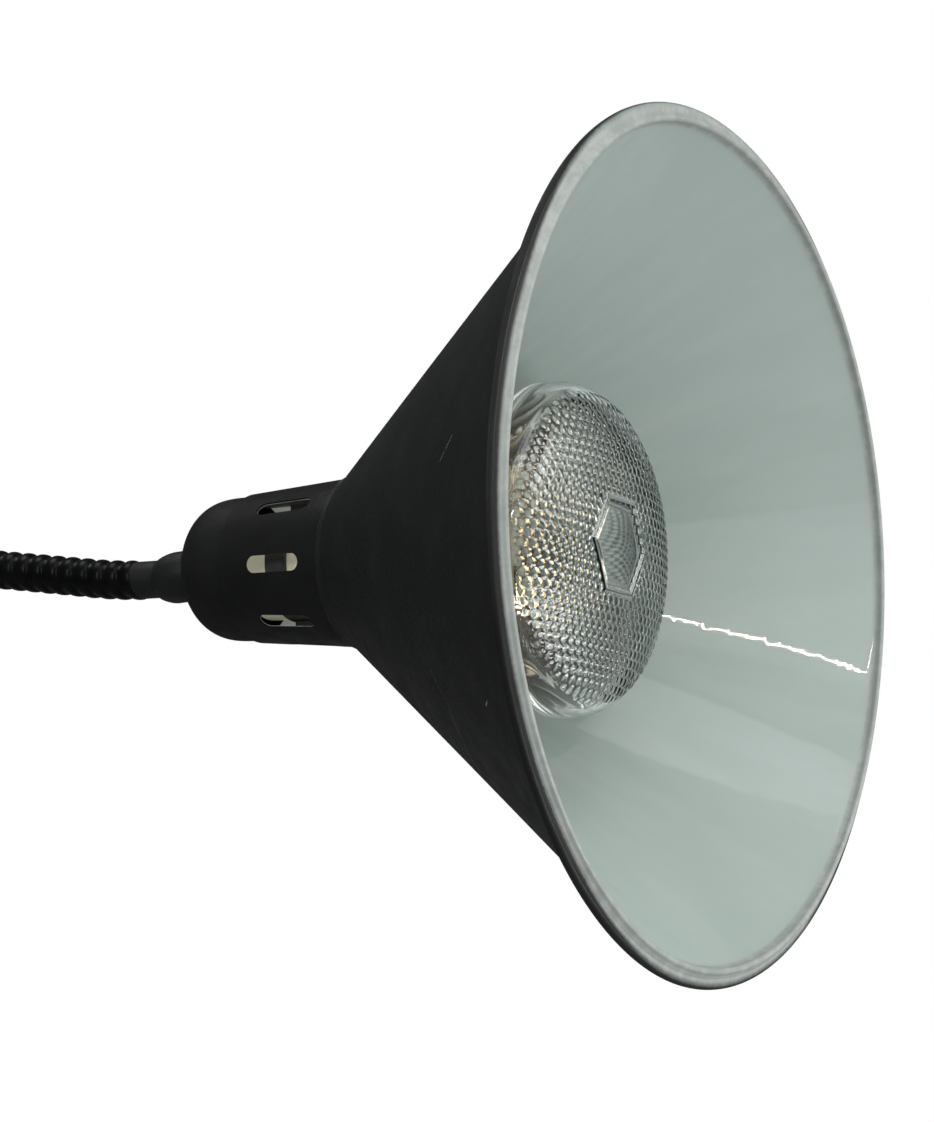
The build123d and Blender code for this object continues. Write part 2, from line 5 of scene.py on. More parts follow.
import bpy
import numpy as np
from mathutils import Matrix, Vector, noise


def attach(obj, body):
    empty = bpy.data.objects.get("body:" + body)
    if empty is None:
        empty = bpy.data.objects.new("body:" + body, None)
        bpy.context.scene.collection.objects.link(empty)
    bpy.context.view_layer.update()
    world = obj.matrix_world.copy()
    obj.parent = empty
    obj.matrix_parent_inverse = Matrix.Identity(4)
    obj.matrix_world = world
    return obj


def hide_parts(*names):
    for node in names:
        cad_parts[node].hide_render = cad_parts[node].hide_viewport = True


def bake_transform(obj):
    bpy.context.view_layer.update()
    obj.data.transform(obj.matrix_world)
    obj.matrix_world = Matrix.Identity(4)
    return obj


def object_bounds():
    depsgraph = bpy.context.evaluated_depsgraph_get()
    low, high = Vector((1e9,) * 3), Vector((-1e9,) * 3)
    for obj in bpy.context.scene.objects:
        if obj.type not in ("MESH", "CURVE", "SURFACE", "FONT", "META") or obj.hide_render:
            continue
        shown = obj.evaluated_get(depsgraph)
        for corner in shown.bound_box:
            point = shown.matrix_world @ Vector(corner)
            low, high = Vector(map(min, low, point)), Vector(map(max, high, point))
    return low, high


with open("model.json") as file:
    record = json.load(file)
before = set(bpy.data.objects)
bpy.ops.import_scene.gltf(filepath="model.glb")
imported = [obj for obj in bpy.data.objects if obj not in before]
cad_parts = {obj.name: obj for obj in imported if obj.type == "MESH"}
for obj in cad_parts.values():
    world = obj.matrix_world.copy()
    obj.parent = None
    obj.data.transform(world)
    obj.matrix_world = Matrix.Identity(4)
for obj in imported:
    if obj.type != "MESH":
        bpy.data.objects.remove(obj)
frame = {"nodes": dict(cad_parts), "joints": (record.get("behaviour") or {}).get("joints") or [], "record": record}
cad_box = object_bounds()
scene = bpy.context.scene
MM = 0.001

# ---- places taken from the frame ----------------------------------------------------------
joints = {joint["name"]: joint for joint in frame["joints"]}
RIM_CENTRE = Vector(joints["lamp_turn"]["pos_m"])
LAMP_AXIS = Vector(joints["lamp_turn"]["axis"]).normalized()
SIDE = Vector((0, -1, 0))
UP = SIDE.cross(LAMP_AXIS)
LAMP_FRAME = Matrix.Translation(RIM_CENTRE) @ Matrix((UP, SIDE, LAMP_AXIS)).transposed().to_4x4()

# ---- sizes of the object, in millimetres, in the lamp's own frame ---------------------------
SHEET = 1.2
RIM_R = 152.5
BEAD_R = 1.6
MOUTH_R = 145.8
CONE_END_R = 33.3
CONE_END_Z = -142.2
LIP_END_Z = -144.6
FLANGE_BORE_R = 21.0
LIP_INNER_R = 32.1
CONE_SLOPE = (MOUTH_R - CONE_END_R) / (-SHEET - CONE_END_Z)
CONE_WALL = SHEET * math.hypot(1, CONE_SLOPE)

NECK_FRONT_R = 32.0
NECK_REAR_R = 28.5
NECK_REAR_Z = -190.4
NECK_SHEET = 0.9
DOME_R = 27.5

LAMP_R = 60.2
LENS_EDGE_Z = -62.0
LENS_HEIGHT = 25.5
LENS_GLASS = 3.0
GLASS_NECK_R = 17.0
GLASS_NECK_Z = -141.0
CAP_TOP_Z = -146.0

# ---- the arm's centre line, in millimetres in the row frame ----------------------------------
POST_LENGTH = 100.0
BEND_R = 110.0
ARM_SLOPE = 4.0
REACH_LENGTH = 66.0
LAMP_TILT = 3.0
LIFT_LENGTH = 30.0
STRETCHES = [
    (POST_LENGTH, 0.0),
    (BEND_R * math.radians(90 + ARM_SLOPE), -(90 + ARM_SLOPE)),
    (REACH_LENGTH, 0.0),
    (LIFT_LENGTH, ARM_SLOPE + LAMP_TILT),
]
ARM_LENGTH = sum(length for length, turn in STRETCHES)
ARM_END_Z = -241.0          # lamp-frame z of the end of the flexible length
DOME_BACK_Z = -218.6
COLLAR_R = 10.0
COLLAR_END_Z = -237.5


# ---- mesh helpers ----------------------------------------------------------------------------
def add_object(name, vertices, faces, material, sharp=40.0):
    mesh = bpy.data.meshes.new(name)
    mesh.from_pydata([tuple(v) for v in vertices], [], [tuple(f) for f in faces])
    mesh.validate()
    mesh.materials.append(material)
    mesh.shade_smooth()
    mesh.set_sharp_from_angle(angle=math.radians(sharp))
    piece = bpy.data.objects.new(name, mesh)
    scene.collection.objects.link(piece)
    return piece


def weave_grid(rows, columns, close_rows, close_columns):
    """Quads over a grid of points numbered row by row."""
    i = np.arange(rows if close_rows else rows - 1)
    j = np.arange(columns if close_columns else columns - 1)
    i, j = (a.ravel() for a in np.meshgrid(i, j, indexing="ij"))
    i2, j2 = (i + 1) % rows, (j + 1) % columns
    return np.stack([i * columns + j, i2 * columns + j, i2 * columns + j2, i * columns + j2], 1)


def lathe(name, profile, material, segments=192, closed=True, tags=None, shape=None, sharp=40.0):
    """Turned piece in the lamp frame from (radius, z) points in mm, on the outline's left-hand side.

    tags gives each profile point a value kept in the point attribute "inside".
    shape(radius, angle, z) may return a small displacement along the radius."""
    profile = np.array(profile, float)
    angles = np.arange(segments) * (2 * math.pi / segments)
    radius = np.repeat(profile[:, 0], segments)
    z = np.repeat(profile[:, 1], segments)
    angle = np.tile(angles, len(profile))
    if shape is not None:
        radius = radius + shape(radius, angle, z)
    points = np.stack([radius * np.cos(angle), radius * np.sin(angle), z], 1) * MM
    matrix = np.array(LAMP_FRAME)
    points = points @ matrix[:3, :3].T + matrix[:3, 3]
    faces = weave_grid(len(profile), segments, closed, True)
    piece = add_object(name, points, faces, material, sharp)
    if tags is not None:
        attribute = piece.data.attributes.new("inside", "FLOAT", "POINT")
        attribute.data.foreach_set("value", np.repeat(tags, segments).astype(np.float32))
    return piece


def merge_pole(piece):
    """Joins the points that a lathe leaves on its axis."""
    import bmesh
    work = bmesh.new()
    work.from_mesh(piece.data)
    bmesh.ops.remove_doubles(work, verts=work.verts, dist=1e-6)
    bmesh.ops.recalc_face_normals(work, faces=work.faces)
    work.to_mesh(piece.data)
    work.free()


def arc_points(centre, radius, start, end, count):
    angles = np.radians(np.linspace(start, end, count))
    return [(centre[0] + radius * math.cos(a), centre[1] + radius * math.sin(a)) for a in angles]


def line_points(a, b, count):
    return [tuple(p) for p in np.linspace(a, b, count)]


# ---- material helpers --------------------------------------------------------------------------
class Look:
    """A node material with its Principled shader, and short calls for what the looks share."""

    def __init__(self, name, colour, roughness, **inputs):
        self.material = bpy.data.materials.new(name)
        self.material.use_nodes = True
        self.tree = self.material.node_tree
        self.shader = self.tree.nodes["Principled BSDF"]
        self.shader.inputs["Base Color"].default_value = (*colour, 1)
        self.shader.inputs["Roughness"].default_value = roughness
        for key, value in inputs.items():
            self.shader.inputs[key.replace("_", " ")].default_value = value
        self.place = self.node("ShaderNodeTexCoord").outputs["Object"]

    def node(self, kind, **settings):
        made = self.tree.nodes.new(kind)
        for key, value in settings.items():
            setattr(made, key, value)
        return made

    def feed(self, socket, value):
        if isinstance(value, bpy.types.NodeSocket):
            self.tree.links.new(value, socket)
        else:
            socket.default_value = value

    def maths(self, operation, *values):
        made = self.node("ShaderNodeMath", operation=operation)
        for socket, value in zip(made.inputs, values):
            self.feed(socket, value)
        return made.outputs[0]

    def noise(self, scale, detail=3.0, roughness=0.5, place=None, distortion=0.0):
        made = self.node("ShaderNodeTexNoise")
        self.feed(made.inputs["Vector"], self.place if place is None else place)
        made.inputs["Scale"].default_value = scale
        made.inputs["Detail"].default_value = detail
        made.inputs["Roughness"].default_value = roughness
        made.inputs["Distortion"].default_value = distortion
        return made.outputs["Fac"]

    def span(self, value, low, high, to_low=0.0, to_high=1.0, smooth=True):
        made = self.node("ShaderNodeMapRange")
        made.interpolation_type = "SMOOTHSTEP" if smooth else "LINEAR"
        names = ("Value", "From Min", "From Max", "To Min", "To Max")
        for key, number in zip(names, (value, low, high, to_low, to_high)):
            self.feed(made.inputs[key], number)
        return made.outputs[0]

    def mix(self, factor, a, b):
        made = self.node("ShaderNodeMix", data_type="RGBA")
        self.feed(made.inputs["Factor"], factor)
        for socket, value in ((made.inputs[6], a), (made.inputs[7], b)):
            self.feed(socket, value if isinstance(value, bpy.types.NodeSocket) else (*value, 1))
        return made.outputs[2]

    def bump(self, height, distance, strength=1.0, normal=None):
        made = self.node("ShaderNodeBump")
        made.inputs["Strength"].default_value = strength
        made.inputs["Distance"].default_value = distance
        self.feed(made.inputs["Height"], height)
        if normal is not None:
            self.feed(made.inputs["Normal"], normal)
        return made.outputs["Normal"]

    def cylinder(self):
        """Radius, height along the lamp's axis and angle round it, from the place on the object."""
        origin = self.node("ShaderNodeVectorMath", operation="SUBTRACT")
        self.feed(origin.inputs[0], self.place)
        origin.inputs[1].default_value = RIM_CENTRE
        parts = []
        for direction in (UP, SIDE, LAMP_AXIS):
            dot = self.node("ShaderNodeVectorMath", operation="DOT_PRODUCT")
            self.feed(dot.inputs[0], origin.outputs[0])
            dot.inputs[1].default_value = direction
            parts.append(dot.outputs["Value"])
        x, y, z = parts
        squares = [self.maths("MULTIPLY", part, part) for part in (x, y)]
        radius = self.maths("SQRT", self.maths("ADD", *squares))
        return radius, z, self.maths("ARCTAN2", y, x)

    def set(self, name, value):
        self.feed(self.shader.inputs[name], value)


BLACK = (0.0098, 0.0107, 0.0099)
BLACK_WORN = (0.0136, 0.0147, 0.0137)
GREY = (0.40, 0.468, 0.440)
# painted shade: the darker grey used deep in the cone
GREY_PAINTED_SHADE = (0.30, 0.36, 0.335)
RUBBED_DARK = (0.33, 0.36, 0.34)
RUBBED_PALE = (0.43, 0.45, 0.43)
FRONT_FADE = (-0.0014, -0.0005)     # lamp-frame z, in metres, over which the rim's front begins
INNER_WALL = (0.45, 0.48, 0.455)
# painted light: the glow given to the grey inner wall of neck and dome
PAINTED_INNER_LIGHT = (0.13, 0.14, 0.13, 1)


def black_coat(name, roughness=0.5, specular=0.16):
    """Matte black powder coat: fine orange peel, cloudy sheen and faint rub marks."""
    look = Look(name, BLACK, roughness, Specular_IOR_Level=specular)
    cloud = look.noise(38, 4, 0.6)
    look.set("Base Color", look.mix(look.span(cloud, 0.42, 0.72), BLACK, BLACK_WORN))
    fine = look.noise(1900, 3, 0.6)
    sheen = look.noise(90, 3, 0.6)
    look.set("Roughness", look.span(sheen, 0.3, 0.75, roughness - 0.05, roughness + 0.12))
    grain = look.bump(fine, 0.00012, 0.7)
    look.set("Normal", look.bump(look.noise(600, 2, 0.5), 0.00012, 0.35, grain))
    return look


def inside_mask(look):
    """0 on the black outside and 1 on the grey inside, with the spray's ragged edge on the rim."""
    mark = look.node("ShaderNodeAttribute", attribute_name="inside").outputs["Fac"]
    ragged = look.maths("SUBTRACT", look.noise(520, 5, 0.75), 0.5)
    patchy = look.maths("SUBTRACT", look.noise(45, 2, 0.5), 0.5)
    radius, z, angle = look.cylinder()
    upward = look.maths("COSINE", angle)
    top_drift = look.span(upward, 0.5, 1.0, -0.75, 0.35)
    drift = look.maths("ADD", top_drift, look.span(upward, -1.0, -0.6, 0.7, 0.0))
    mark = look.maths("ADD", mark, drift)
    mark = look.maths("ADD", mark, look.maths("MULTIPLY", ragged, 0.28))
    return look.span(look.maths("ADD", mark, look.maths("MULTIPLY", patchy, 0.25)), 0.1, 0.9)


# scratches: angle in degrees and lamp-frame z in mm of both ends, width in mm, strength
SCRATCHES = (
    (72.7, -36.2, 75.9, -43.8, 0.3, 0.3),
    (114.6, -64.1, 121.0, -58.4, 0.22, 0.22),
    (121.0, -58.4, 137.6, -60.7, 0.22, 0.25),
    (113.2, -25.6, 114.4, -27.6, 0.45, 0.5),
    (79.6, -6.9, 80.0, -7.1, 0.8, 0.3),
    (251.0, -48.0, 262.0, -71.0, 0.3, 0.4),
    (318.0, -95.0, 326.0, -90.0, 0.35, 0.4),
    (20.0, -70.0, 12.0, -92.0, 0.25, 0.35),
)


def scratch_mask(look, radius, z, angle):
    """Thin worn lines, each the neighbourhood of a straight run in angle and height."""
    def times(value, factor):
        return look.maths("MULTIPLY", value, factor)

    total = None
    for a1, z1, a2, z2, width, strength in SCRATCHES:
        reach = MOUTH_R + CONE_SLOPE * ((z1 + z2) / 2 + SHEET)
        turn = math.radians((a1 + a2) / 2)
        # angle from the scratch's middle, kept within half a turn
        offset = look.maths("SUBTRACT", angle, turn)
        offset = look.maths("ARCTAN2", look.maths("SINE", offset), look.maths("COSINE", offset))
        u = times(offset, reach)
        v = look.maths("SUBTRACT", times(z, 1 / MM), (z1 + z2) / 2)
        du, dv = math.radians(a2 - a1) * reach, z2 - z1
        length = math.hypot(du, dv)
        u_share, v_share = du / length, dv / length
        along = look.maths("ADD", times(u, u_share), times(v, v_share))
        across = look.maths("SUBTRACT", times(u, v_share), times(v, u_share))
        past_end = look.maths("SUBTRACT", look.maths("ABSOLUTE", along), length / 2)
        beyond = look.maths("MAXIMUM", past_end, 0.0)
        distance = look.maths("ADD", look.maths("ABSOLUTE", across), beyond)
        line = look.span(distance, 0.0, width, strength, 0.0)
        total = line if total is None else look.maths("MAXIMUM", total, line)
    broken = look.span(look.noise(700, 3, 0.6), 0.34, 0.56, 0.25, 1.0)
    return look.maths("MULTIPLY", total, broken)


def shade_outside():
    look = black_coat("shade_outside_coat")
    radius, z, angle = look.cylinder()
    base = look.shader.inputs["Base Color"].links[0].from_socket
    base = look.mix(scratch_mask(look, radius, z, angle), base, (0.60, 0.62, 0.60))
    look.set("Base Color", look.mix(inside_mask(look), base, GREY))
    return look.material


def shade_inside():
    """Semi-gloss light grey coat with the spinning's faint rings and lighter streaks along the cone."""
    look = Look("shade_inside_coat", GREY, 0.45, Coat_Roughness=0.025, Specular_IOR_Level=0.3)
    radius, z, angle = look.cylinder()
    around = look.node("ShaderNodeCombineXYZ")
    look.feed(around.inputs[0], look.maths("MULTIPLY", angle, 1.2))
    look.feed(around.inputs[1], look.maths("MULTIPLY", z, 3.0))
    streaks = look.noise(7, 4, 0.6, place=around.outputs[0])
    # painted shade: the grey darkens towards the back of the cone
    depth = look.span(z, -0.14, -0.01)
    grey = look.mix(depth, GREY_PAINTED_SHADE, GREY)
    grey = look.mix(look.span(streaks, 0.35, 0.75, 0.0, 0.16), grey, (0.56, 0.60, 0.58))
    # the rim's front is rubbed matte, and the black on it has no gloss
    mask = inside_mask(look)
    front = look.span(z, *FRONT_FADE)
    wear = look.span(look.noise(160, 4, 0.7), 0.35, 0.7)
    rubbed = look.mix(wear, RUBBED_DARK, RUBBED_PALE)
    look.set("Base Color", look.mix(mask, BLACK, look.mix(front, grey, rubbed)))
    gloss = look.span(z, *FRONT_FADE, 0.45, 0.02)
    look.set("Coat Weight", look.maths("MULTIPLY", mask, gloss))
    look.set("Roughness", look.span(look.noise(60, 3, 0.6), 0.3, 0.75, 0.36, 0.48))
    rings = look.node("ShaderNodeCombineXYZ")
    look.feed(rings.inputs[0], z)
    look.feed(rings.inputs[1], look.maths("MULTIPLY", angle, 0.004))
    grain = look.bump(look.noise(900, 2, 0.5), 0.00002, 0.4)
    turned = look.noise(420, 2, 0.5, place=rings.outputs[0])
    look.set("Normal", look.bump(turned, 0.00003, 0.5, grain))
    peel = look.bump(look.noise(210, 2, 0.6), 0.000016, 1.0)
    look.set("Coat Normal", look.bump(look.noise(95, 2, 0.5), 0.00006, 1.0, peel))
    return look.material


def grey_wall_with_painted_glow(look, inner):
    """Grey wall where inner is 1, lit by painted light: an emission makes it glow though no lamp shines there."""
    base = look.shader.inputs["Base Color"].links[0].from_socket
    look.set("Base Color", look.mix(inner, base, INNER_WALL))
    # painted light: emission that makes the inner wall glow as if lit
    look.set("Emission Color", PAINTED_INNER_LIGHT)
    look.set("Emission Strength", inner)
    return look.material


def neck_coat():
    """Black outside and grey inside, told apart by the wall's middle surface; the grey inside glows with painted
    light.
    """
    look = black_coat("neck_coat", 0.46, 0.06)
    radius, z, angle = look.cylinder()
    ends = (NECK_REAR_Z * MM, CONE_END_Z * MM, NECK_REAR_R * MM, NECK_FRONT_R * MM)
    along = look.span(z, *ends, smooth=False)
    middle = look.maths("SUBTRACT", along, (NECK_SHEET - 0.15) * MM)
    inner = look.span(look.maths("SUBTRACT", middle, radius), -0.00012, 0.00012)
    past_edge = look.span(z, (NECK_REAR_Z + 0.4) * MM, (NECK_REAR_Z + 0.6) * MM)
    return grey_wall_with_painted_glow(look, look.maths("MULTIPLY", inner, past_edge))


def dome_coat():
    """As the neck: the skirt's inner wall is the grey of the inside, with the same painted light glowing on it."""
    look = black_coat("dome_coat", 0.5, 0.07)
    radius, z, angle = look.cylinder()
    deep = look.span(radius, (DOME_R - 0.65) * MM, (DOME_R - 0.35) * MM, 1.0, 0.0)
    past_edge = look.span(z, (NECK_REAR_Z - 3.4) * MM, (NECK_REAR_Z - 3.2) * MM)
    return grey_wall_with_painted_glow(look, look.maths("MULTIPLY", deep, past_edge))


GLASS_INDEX = 1.47


def plain_metal(name, colour, roughness, scale=700):
    look = Look(name, colour, roughness, Metallic=1.0)
    patch = look.noise(scale * 0.2, 4, 0.6)
    darker = tuple(c * 0.72 for c in colour)
    look.set("Base Color", look.mix(look.span(patch, 0.3, 0.7), darker, colour))
    look.set("Roughness", look.span(patch, 0.3, 0.7, roughness + 0.12, roughness))
    look.set("Normal", look.bump(look.noise(scale, 2, 0.6), 0.00003, 0.4))
    return look.material


def porcelain():
    look = Look("porcelain_glaze", (0.80, 0.75, 0.62), 0.18, Coat_Weight=0.5, Coat_Roughness=0.08)
    # painted light: a faint emission makes the glaze glow as if lit inside the dark neck
    look.set("Emission Color", (0.12, 0.11, 0.085, 1))
    look.set("Emission Strength", 1.0)
    stain = look.span(look.noise(140, 4, 0.6), 0.4, 0.75)
    look.set("Base Color", look.mix(stain, (0.80, 0.755, 0.64), (0.70, 0.63, 0.49)))
    look.set("Normal", look.bump(look.noise(260, 2, 0.5), 0.00008, 0.35))
    return look.material


def plastic(name, colour, roughness=0.45):
    look = Look(name, colour, roughness)
    darker = tuple(c * 0.75 for c in colour)
    look.set("Base Color", look.mix(look.noise(300, 3, 0.6), darker, colour))
    look.set("Normal", look.bump(look.noise(1500, 2, 0.5), 0.00004, 0.4))
    return look.material


def clear_glass(name, tint):
    look = Look(name, tint, 0.0, Transmission_Weight=1.0, IOR=GLASS_INDEX)
    look.set("Normal", look.bump(look.noise(90, 2, 0.5), 0.00002, 0.3))
    return look.material


def lens_glass():
    """Pressed glass: clear, with painted shade darkening the grooves between the beads."""
    clear = (0.97, 0.985, 0.98)
    look = Look("pressed_glass", clear, 0.02, Transmission_Weight=1.0, IOR=GLASS_INDEX)
    groove = look.node("ShaderNodeAttribute", attribute_name="groove").outputs["Fac"]
    # painted shade in the grooves between the beads
    look.set("Base Color", look.mix(groove, clear, (0.09, 0.085, 0.07)))
    look.set("Specular IOR Level", 0.8)
    return look.material


def mirror_coat():
    look = Look("silvered_glass", (0.88, 0.88, 0.86), 0.03, Metallic=1.0)
    radius, z, angle = look.cylinder()
    tarnish = look.span(look.noise(60, 3, 0.6), 0.4, 0.7)
    silver = look.mix(tarnish, (0.90, 0.90, 0.88), (0.80, 0.79, 0.76))
    neck = look.span(z, -0.108, -0.072)
    look.set("Base Color", look.mix(neck, (0.40, 0.31, 0.18), silver))
    look.set("Normal", look.bump(look.noise(45, 2, 0.5), 0.0002, 0.4))
    return look.material


def gloss_black():
    look = Look("arm_gloss_black", (0.003, 0.0032, 0.0031), 0.30, Specular_IOR_Level=0.06)
    look.set("Coat Weight", 0.02)
    look.set("Coat Roughness", 0.1)
    worn = look.span(look.noise(120, 4, 0.6), 0.4, 0.75)
    look.set("Base Color", look.mix(worn, (0.0026, 0.0029, 0.0027), (0.0045, 0.0049, 0.0046)))
    look.set("Roughness", look.span(look.noise(300, 3, 0.6), 0.3, 0.75, 0.24, 0.42))
    look.set("Normal", look.bump(look.noise(1800, 2, 0.5), 0.00005, 0.4))
    return look.material


LOOKS = {
    "outside": shade_outside(),
    "inside": shade_inside(),
    "neck": neck_coat(),
    "dome": dome_coat(),
    "black": black_coat("black_powder_coat", 0.46).material,
    "arm": gloss_black(),
    "zinc": plain_metal("zinc_plate", (0.62, 0.62, 0.60), 0.32),
    "dark": plain_metal("dark_steel_strap", (0.10, 0.10, 0.10), 0.42),
    "porcelain": porcelain(),
    "brass": plain_metal("brass_pressing", (0.72, 0.53, 0.24), 0.3),
    "nickel": plain_metal("nickel_cap", (0.76, 0.75, 0.71), 0.28),
    "brown": plastic("brown_insulation", (0.14, 0.06, 0.03)),
    "blue": plastic("blue_insulation", (0.03, 0.10, 0.40)),
    "green": plastic("green_insulation", (0.10, 0.36, 0.07)),
    "rubber": plastic("cable_rubber", (0.02, 0.02, 0.02), 0.6),
    "glass": lens_glass(),
    "stem": clear_glass("stem_glass", (0.95, 0.97, 0.96)),
    "mirror": mirror_coat(),
    "tungsten": plain_metal("tungsten_wire", (0.42, 0.40, 0.38), 0.35, 2000),
    "cap_glass": plastic("black_cap_glass", (0.012, 0.01, 0.014), 0.12),
    "solder": plain_metal("solder_pad", (0.6, 0.6, 0.59), 0.4),
}
NODE_LOOKS = {"vented_neck": "neck", "dome_cap": "dome"}
SLOT_LOOKS = {
    "shade_coat": "black", "arm_coat": "black", "cable_sheath": "rubber", "zinc_steel": "zinc",
    "dark_steel": "dark", "porcelain": "porcelain", "brass": "brass", "brown_wire": "brown",
    "blue_wire": "blue", "green_wire": "green", "lens_glass": "glass", "lamp_mirror": "mirror",
    "stem_glass": "stem", "tungsten": "tungsten", "cap_metal": "nickel", "cap_glass": "cap_glass",
    "solder": "solder",
}


# ---- CAD nodes that stay, with their materials ---------------------------------------------------
def dress_cad():
    slots = {part["node"]: part["material_slot"] for part in frame["record"]["subparts"]}
    for name, node in frame["nodes"].items():
        look = LOOKS[NODE_LOOKS.get(name, SLOT_LOOKS[slots[name]])]
        node.data.materials.clear()
        node.data.materials.append(look)


# ---- shade --------------------------------------------------------------------------------------
RIM_LIP = 2.4               # height of the raised inner edge of the rim
# the used rim is a little out of round: direction and spread in degrees, and mm outwards
RIM_BENDS = ((-15, 25, -1.9), (-149, 22, 2.0), (172, 22, 0.8))
SHADE_SEGMENTS = 384


def out_of_round(radius, angle):
    bend = np.zeros_like(angle)
    for direction, spread, depth in RIM_BENDS:
        away = (np.degrees(angle) - direction + 180) % 360 - 180
        bend += depth * np.exp(-0.5 * (away / spread) ** 2)
    return bend * (radius / RIM_R) ** 3


def dents(radius, angle, z):
    """Bent rim, and small ripples that spinning and handling leave in the sheet, in mm."""
    found = out_of_round(radius, angle)
    for k, (r, a, h) in enumerate(zip(radius, angle, z)):
        place = Vector((r * math.cos(a), r * math.sin(a), h))
        ripple = noise.noise(place / 22.0) * 0.02
        sway = noise.noise(place / 90.0 + Vector((7, 3, 1))) * 0.22
        found[k] += (ripple + sway) * min(1.0, r / 70.0)
    return found


def make_shade():
    """Spun cone with its flange, rolled bead and raised lip; tags tell black outside from grey inside."""
    def inner_r(z):
        return MOUTH_R - CONE_WALL + CONE_SLOPE * (z + SHEET)

    bead = (RIM_R - BEAD_R, -BEAD_R)
    profile, tags = [], []

    def run(points, tag_a, tag_b):
        profile.extend(points)
        tags.extend(np.linspace(tag_a, tag_b, len(points)))

    run(line_points((FLANGE_BORE_R, CONE_END_Z), (LIP_INNER_R, CONE_END_Z), 3), 0, 0)
    run([(LIP_INNER_R, LIP_END_Z + 0.2), (LIP_INNER_R + 0.2, LIP_END_Z)], 0, 0)
    run(arc_points((CONE_END_R - 0.7, LIP_END_Z + 0.5), 0.5, -90, 0, 4), 0, 0)
    run(arc_points((CONE_END_R - 0.3, CONE_END_Z), 0.3, -10, 10, 3), 0, 0)
    run(line_points((CONE_END_R + 0.4, CONE_END_Z + 0.7), (MOUTH_R - 1.2, -SHEET - 1.4), 70), 0, 0)
    run([(MOUTH_R - 0.35, -SHEET - 0.35), (MOUTH_R + 0.5, -SHEET)], 0, 0)
    run(line_points((MOUTH_R + 1.4, -SHEET), (bead[0] - BEAD_R * 0.97, -SHEET), 3), 0, 0)
    run(arc_points(bead, BEAD_R, 165, 360, 14), 0, 0)
    run(arc_points(bead, BEAD_R, 10, 90, 9), -0.15, 0.5)
    run(line_points((bead[0] - 0.4, 0.02), (bead[0] - 2.0, 0.3), 6), 0.58, 1.15)
    lip_r = inner_r(0) + 1.25
    run([(lip_r + 2.3, 0.5), (lip_r + 1.7, 0.85), (lip_r + 1.1, 1.5)], 1.3, 1.75)
    run(arc_points((lip_r, RIM_LIP - 1.2), 1.2, 40, 180, 8), 1.9, 2.6)
    run([(lip_r - 1.2, 0.3)], 3.0, 3.0)
    flange_z = CONE_END_Z + SHEET
    run(line_points((inner_r(-0.4), -0.4), (inner_r(flange_z + 1.0), flange_z + 1.0), 80), 3.0, 3.0)
    run([(inner_r(flange_z) - 1.0, flange_z), (FLANGE_BORE_R, flange_z)], 3.0, 3.0)
    coat = LOOKS["outside"]
    piece = lathe("shade_shell", profile, coat, SHADE_SEGMENTS, tags=tags, shape=dents, sharp=50)
    piece.data.materials.append(LOOKS["inside"])
    first_inside_row = sum(1 for tag in tags if tag < 0.3)
    for polygon in piece.data.polygons:
        row = polygon.vertices[0] // SHADE_SEGMENTS
        polygon.material_index = 1 if first_inside_row <= row < len(tags) - 1 else 0
    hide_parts("cone_shade")
    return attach(piece, "head")


# ---- gooseneck ----------------------------------------------------------------------------------
def arm_point(s):
    """Point of the arm's centre line at length s in mm, and its heading in degrees above +X."""
    x, z, heading = 0.0, 0.0, 90.0
    for index, (length, turn) in enumerate(STRETCHES):
        step = s if index == len(STRETCHES) - 1 else min(s, length)
        if turn == 0.0:
            x += step * math.cos(math.radians(heading))
            z += step * math.sin(math.radians(heading))
        else:
            radius = length / math.radians(turn)
            after = heading + turn * step / length
            x += radius * (math.sin(math.radians(after)) - math.sin(math.radians(heading)))
            z -= radius * (math.cos(math.radians(after)) - math.cos(math.radians(heading)))
            heading = after
        s -= step
        if s <= 0:
            break
    return Vector((x, 0, z)), heading


RIB_R = 7.8
RIB_PITCH = 7.5
RIB_DEPTH = 1.0
RIB_AROUND = 56
RIB_STEP = 0.42
ARM_START_S = 22.0          # inside the base ferrule
RIBS_END_S = ARM_LENGTH - 6.6
BEND_REACH = 18.0           # length to each side of a hinge, for near and far ends that make_arm works out and does not use
SAG = 1.7                   # the arm's end hangs this far below the lamp's axis
SAG_START_S = 90.0
SAG_LENGTH = 130.0


def rib_radius(turns):
    """Arm radius at a place in the rib's cycle: a round crest and a groove a third as wide."""
    u = turns % 1.0
    groove = 0.36
    crest = np.sqrt(np.clip(1 - (2 * (u - groove) / (1 - groove) - 1) ** 2, 0, 1))
    valley = 1 - np.sin(np.pi * np.clip(u / groove, 0, 1)) ** 0.8
    shape = np.where(u < groove, 0.12 * valley, 0.12 + 0.88 * crest ** 0.75)
    return RIB_R - RIB_DEPTH * (1 - shape)


def hang(share):
    """The arm's sag at a share of its full amount, in mm along the lamp's up direction."""
    share = np.clip(share, 0, 1)
    return -SAG * share * share * (3 - 2 * share)


def arm_skin(name, s_low, s_high):
    count = max(2, int(round((s_high - s_low) / RIB_STEP)) + 1)
    around = np.arange(RIB_AROUND) * (2 * math.pi / RIB_AROUND)
    points = []
    for s in np.linspace(s_low, s_high, count):
        centre, heading = arm_point(s)
        h = math.radians(heading)
        normal = np.array([-math.sin(h), 0, math.cos(h)])
        across = np.array([0, -1, 0])
        radius = rib_radius(s / RIB_PITCH - around / (2 * math.pi))
        ring = np.outer(np.cos(around) * radius, normal) + np.outer(np.sin(around) * radius, across)
        sag = np.array(UP) * hang((s - SAG_START_S) / SAG_LENGTH)
        points.append(ring + np.array(centre) + sag)
    points = np.concatenate(points) * MM
    return add_object(name, points, weave_grid(count, RIB_AROUND, False, True), LOOKS["arm"], 180)


